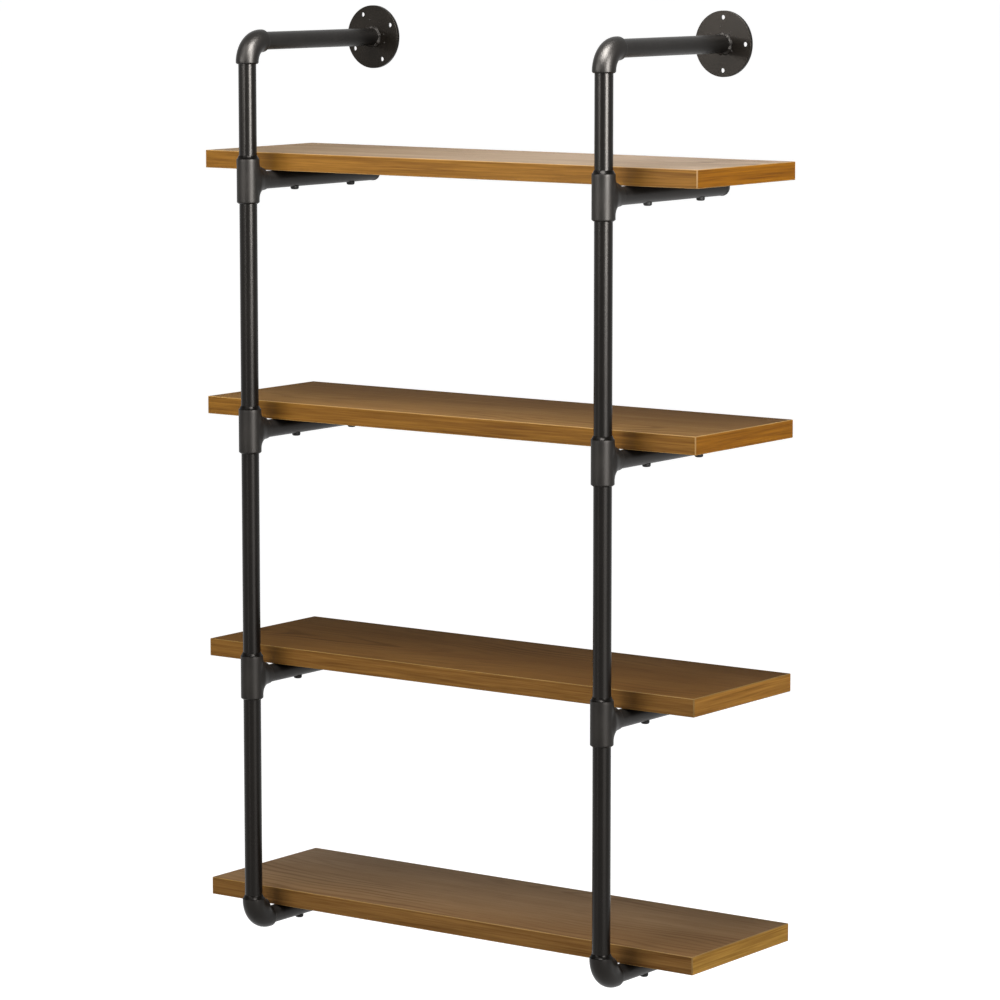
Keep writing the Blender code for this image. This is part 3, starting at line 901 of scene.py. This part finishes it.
weldSettings = {
    "leg": 3.3 * mm,  # size of the bead
    "slim": 0.75,  # its radius as a share of that
    "sunk": 0.3 * mm,  # how far its middle lies inside the arm
    "ripple": 0.6 * mm,
    "ripples": 9,
    "wander": 0.18,  # how much the bead's size wanders
    "wanderPitch": 1.5,  # how often it does, round the arm
    "rippleShift": 2.5,  # how much the ripples' spacing wanders
    "steps": 208,
    "sections": 14,
    "spatter": 9,  # number of drops
    "spatterSize": (0.5 * mm, 1.0 * mm),
    "spatterReach": 6.0 * mm,
    "spatterHeight": 0.8,  # share of its width
    "spatterDetail": 2,
    "sharpDegrees": 80,
    "seed": {"left": 5, "right": 12},
}


def flangeArmMesh(name, discRadius, tubeRadius, length, turn, disc, pipe):
    thickness = disc["thickness"]
    edgeRound = disc["edgeRound"]
    bore = tubeRadius - pipe["wall"]
    corners = [(0, 0, 0), (discRadius, 0, edgeRound / 2), (discRadius, thickness, edgeRound),
               (tubeRadius, thickness, 0), (tubeRadius, length - pipe["support"], 0),
               (tubeRadius, length, pipe["endRound"]), (bore, length, pipe["endRound"]),
               (bore, thickness, 0), (0, thickness, 0)]
    body = turnedMesh(name, roundedProfile(corners), disc["facets"])
    wide, narrow = disc["holeRadius"]
    above = 2 * thickness
    hole = [(0, -thickness), (wide, -thickness), (wide, 0), (narrow, thickness * disc["punchDepth"]),
            (narrow, above), (0, above)]
    distance = discRadius - disc["holeMargin"]
    places = []
    for index in range(disc["holes"]):
        angle = math.radians(turn + 90) + index * 2 * math.pi / disc["holes"]
        places.append((distance * math.cos(angle), distance * math.sin(angle)))
    mesh = drilledMesh(body, name, hole, disc["holeFacets"], places)
    for face in mesh.polygons:
        onDisc = face.center.xy.length > tubeRadius + edgeRound and face.center.z < thickness + edgeRound
        face.material_index = 1 if onDisc else 0
    return mesh


def weldMesh(name, tubeRadius, seed, weld):
    # rippled bead round the arm's root, and a few drops of spatter on the disc
    dice = random.Random(seed)
    bm = bmesh.new()
    loops = []
    for step in range(weld["steps"]):
        angle = 2 * math.pi * step / weld["steps"]
        place = Vector((math.cos(angle), math.sin(angle), seed)) * weld["wanderPitch"]
        wander = noise.noise(place)
        wave = math.sin(angle * weld["ripples"] + weld["rippleShift"] * wander)
        leg = weld["leg"] * (1 + weld["wander"] * wander) + weld["ripple"] * wave
        loop = []
        for part in range(weld["sections"]):
            across = 2 * math.pi * part / weld["sections"]
            radius = tubeRadius - weld["sunk"] + leg * weld["slim"] * math.cos(across)
            height = leg * weld["slim"] * math.sin(across)
            loop.append(bm.verts.new((radius * math.cos(angle), radius * math.sin(angle), height)))
        loops.append(loop)
    for loop, follower in zip(loops, loops[1:] + loops[:1]):
        joinLoops(bm, loop, follower)
    squash = Matrix.Diagonal((1, 1, weld["spatterHeight"], 1))
    for drop in range(weld["spatter"]):
        angle = dice.uniform(0, 2 * math.pi)
        distance = tubeRadius + weld["leg"] + dice.uniform(0, weld["spatterReach"])
        size = dice.uniform(*weld["spatterSize"])
        spot = Matrix.Translation((distance * math.cos(angle), distance * math.sin(angle), 0))
        bmesh.ops.create_icosphere(bm, subdivisions=weld["spatterDetail"], radius=size, matrix=spot @ squash)
    return meshFrom(bm, name, weld["sharpDegrees"])


def addFlangeArms():
    tubeRadius = nodeRadius("left_upright_1")
    ontoWall = Matrix.Rotation(math.radians(90), 4, "X")
    ontoDisc = Matrix.Translation((0, 0, flangeSettings["thickness"]))
    for side in sides:
        node = f"{side}_wall_flange_arm"
        low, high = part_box(node)
        centre = nodeCentre(node)
        place = Matrix.Translation((centre.x, 0, centre.z)) @ ontoWall
        mesh = flangeArmMesh(f"{side}FlangeArm", nodeRadius(node), tubeRadius, high.y - low.y,
                             flangeSettings["turn"][side], flangeSettings, pipeSettings)
        mesh.transform(place)
        addPiece(f"{side}FlangeArm", mesh, ["elbowPaint", "discPaint"], [node])
        weld = weldMesh(f"{side}FlangeWeld", tubeRadius, weldSettings["seed"][side], weldSettings)
        weld.transform(place @ ontoDisc)
        addPiece(f"{side}FlangeWeld", weld, ["weldPaint"], [])


addFlangeArms()
print("flanges made")


# Arm caps and screws

capSettings = {
    "thickness": 2.5 * mm,
    "lip": 0.3 * mm,
    "clearance": 0.1 * mm,  # between the stem and the pipe's bore
    "round": (0.5 * mm, 0.2 * mm, 0.5 * mm),  # the disc's outer and inner edge, and the stem's end
    "facets": 48,
}
screwSettings = {
    "headHeight": 2.6 * mm,
    "headRound": 1.7 * mm,
    "seat": 1.1 * mm,  # how far the head goes on upwards, to meet the round arm
    "seatRound": 0.2 * mm,
    "shank": 2.0 * mm,
    "tip": 3.0 * mm,
    "crossWidth": 1.1 * mm,
    "crossReach": 2.3 * mm,
    "crossDepth": 1.5 * mm,
    "crossTaper": 0.55,  # size of the recess at its bottom, against its mouth
    "facets": 40,
}


def capMesh(name, radius, depth, bore, cap):
    # disc that covers the pipe's end, and a stem inside it
    stem = bore - cap["clearance"]
    thickness = cap["thickness"]
    disc = radius + cap["lip"]
    outer, inner, end = cap["round"]
    corners = [(0, 0, 0), (disc, 0, outer), (disc, thickness, inner), (stem, thickness, 0),
               (stem, depth, end), (0, depth, 0)]
    mesh = turnedMesh(name, roundedProfile(corners), cap["facets"])
    mesh.transform(Matrix.Rotation(math.radians(90), 4, "X"))
    return mesh


def screwMesh(name, headRadius, height, screw):
    # pan head below, cross recess in it, shank up
    head = screw["headHeight"]
    seat = screw["seat"]
    shank = screw["shank"]
    top = height - head
    corners = [(0, -head, 0), (headRadius, -head, screw["headRound"]),
               (headRadius, seat, screw["seatRound"]), (shank, seat, 0),
               (shank, top - screw["tip"], 0), (0, top, 0)]
    body = turnedMesh(name, roundedProfile(corners), screw["facets"])
    long = screw["crossReach"] * 2
    wide = screw["crossWidth"]
    cutters = []
    for x, y in ((long, wide), (wide, long)):
        bm = bmesh.new()
        bmesh.ops.create_cube(bm, size=1.0)
        bmesh.ops.scale(bm, vec=(x, y, screw["crossDepth"] * 2), verts=bm.verts)
        for vert in bm.verts:
            if vert.co.z > 0:
                vert.co.xy *= screw["crossTaper"]
        bmesh.ops.translate(bm, vec=(0, 0, -head), verts=bm.verts)
        cutters.append(meshFrom(bm, "recess"))
    return cutMesh(body, cutters, name)


def addCapsAndScrews():
    low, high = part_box("left_arm_cap_1")
    bore = nodeRadius("left_arm_cap_1") - pipeSettings["wall"]
    cap = capMesh("armCap", nodeRadius("left_arm_cap_1"), high.y - low.y, bore, capSettings)
    low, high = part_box("left_front_screw_1")
    screw = screwMesh("armScrew", nodeRadius("left_front_screw_1"), high.z - low.z, screwSettings)
    for side in sides:
        for number in range(1, rowCount + 1):
            node = f"{side}_arm_cap_{number}"
            centre = nodeCentre(node)
            place = (centre.x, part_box(node)[1].y, centre.z)
            addPiece(f"{side}ArmCap{number}", cap, ["capPlastic"], [node], place)
            for end in ("front", "rear"):
                node = f"{side}_{end}_screw_{number}"
                centre = nodeCentre(node)
                place = (centre.x, centre.y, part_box(node)[0].z + screwSettings["headHeight"])
                addPiece(f"{side}{end.capitalize()}Screw{number}", screw, ["screwBlack"], [node],
                         place)


addCapsAndScrews()
print("caps and screws made")


# Floor, world and lamps

floorSettings = {"height": -1.25, "half": 120.0, "segments": 8, "glow": 0.97, "colour": (0.3, 0.3, 0.3)}

# brightness counts in whites; a lamp lights surfaces, shines in glossy ones, or both
lampSettings = {
    "high": {"location": (-0.3, -1.2, 0.95), "target": (0.0, -0.15, -0.2), "size": (1.2, 0.6),
             "brightness": 9.0, "lights": True, "shines": True},
    "overhead": {"location": (0.2, -0.45, 0.9), "target": (0.1, -0.15, -0.1), "size": (1.0, 0.5),
                 "brightness": 7.4, "lights": True},
    "front": {"location": (-0.35, -1.6, -0.75), "target": (0.0, -0.18, -0.5), "size": (0.9, 0.5),
              "brightness": 7.4, "lights": True},
    "bend": {"location": (0.3, -0.48, 0.49), "target": (0.0, -0.21, 0.0), "size": (0.4, 0.4),
             "brightness": 105.0, "shines": True},
    "disc": {"location": (-0.9, -1.75, 0.25), "target": (0.2, 0.0, 0.0), "size": (0.3, 0.3),
             "brightness": 74.0, "shines": True},
    "side": {"location": (2.2, -0.15, 0.2), "target": (0.0, -0.1, -0.3), "size": (0.8, 1.4),
             "brightness": 8.4, "lights": True},
    "back": {"location": (0.6, 2.4, 0.9), "target": (0.0, 0.0, -0.4), "size": (1.4, 1.4),
             "brightness": 5.2, "lights": True},
}

# tall panels whose reflections run down the pipes and fade: (low, high, width, brightness) of each part
panelSettings = {
    "right": {"place": (1.9, -0.8), "target": (0.0, -0.21),
              "parts": [(-0.23, 1.0, 0.8, 80.0), (-0.56, -0.23, 1.2, 3.4), (-0.9, -0.56, 1.2, 2.8),
                        (-1.22, -0.9, 1.2, 2.6)]},
    "front": {"place": (-0.3, -1.75), "target": (-0.1, -0.2),
              "parts": [(-0.19, 0.91, 0.3, 22.0), (-1.2, -0.19, 0.3, 1.8)]},
}

worldSettings = {"background": 1.0, "ambient": 0.12}


def backgroundRays(tree):
    # 1 for the rays that look at the background: camera, glossy and transmission
    path = addNode(tree, "LightPath")
    both = mathNode(tree, "MAXIMUM", path["Is Camera Ray"], path["Is Glossy Ray"])
    return mathNode(tree, "MAXIMUM", both, path["Is Transmission Ray"])


def makeFloor(settings):
    # pale paper that can be looked through from below
    bm = bmesh.new()
    bmesh.ops.create_grid(bm, x_segments=settings["segments"], y_segments=settings["segments"],
                          size=settings["half"])
    mesh = meshFrom(bm, "floor")
    if mesh.polygons[0].normal.z < 0:
        mesh.flip_normals()
    floor = newObject("floor", mesh)
    floor.location.z = settings["height"]
    material = bpy.data.materials.new("floorPaper")
    material.use_nodes = True
    tree = material.node_tree
    tree.nodes.clear()
    paper = addNode(tree, "BsdfDiffuse", {"Color": (*settings["colour"], 1.0)})[0]
    strength = mathNode(tree, "MULTIPLY", backgroundRays(tree), settings["glow"])
    glow = addNode(tree, "Emission", {"Color": (1, 1, 1, 1), "Strength": strength})[0]
    both = addNode(tree, "AddShader", {0: paper, 1: glow})[0]
    below = addNode(tree, "NewGeometry")["Backfacing"]
    clear = addNode(tree, "BsdfTransparent")[0]
    oneWay = addNode(tree, "MixShader", {0: below, 1: both, 2: clear})[0]
    addNode(tree, "OutputMaterial", {"Surface": oneWay})
    floor.data.materials.append(material)


def makeWorld(settings):
    world = bpy.data.worlds.new("studio")
    bpy.context.scene.world = world
    world.use_nodes = True
    tree = world.node_tree
    tree.nodes.clear()
    strength = remapped(tree, backgroundRays(tree), (0.0, 1.0), (settings["ambient"], settings["background"]))
    light = addNode(tree, "Background", {"Color": (1, 1, 1, 1), "Strength": strength})[0]
    addNode(tree, "OutputWorld", {"Surface": light})


def makeLamp(name, settings):
    data = bpy.data.lights.new(name, "AREA")
    data.shape = "RECTANGLE"
    data.size, data.size_y = settings["size"]
    data.energy = settings["brightness"] * math.pi * data.size * data.size_y
    lamp = newObject(name, data)
    lamp.location = settings["location"]
    aim = Vector(settings["target"]) - Vector(settings["location"])
    lamp.rotation_euler = aim.to_track_quat("-Z", "Y").to_euler()
    lamp.visible_camera = False
    lamp.visible_diffuse = settings.get("lights", False)
    lamp.visible_glossy = settings.get("shines", False)


def makePanel(name, settings):
    for number, (low, high, width, brightness) in enumerate(settings["parts"], 1):
        middle = (low + high) / 2
        panel = {"location": (*settings["place"], middle), "target": (*settings["target"], middle),
                 "size": (width, high - low), "brightness": brightness, "shines": True}
        makeLamp(f"{name}Panel{number}", panel)


makeFloor(floorSettings)
makeWorld(worldSettings)
for lampName, lampValues in lampSettings.items():
    makeLamp(lampName + "Lamp", lampValues)
for panelName, panelValues in panelSettings.items():
    makePanel(panelName, panelValues)
bpy.context.scene.view_settings.view_transform = "Standard"
print("floor, world and lamps made")
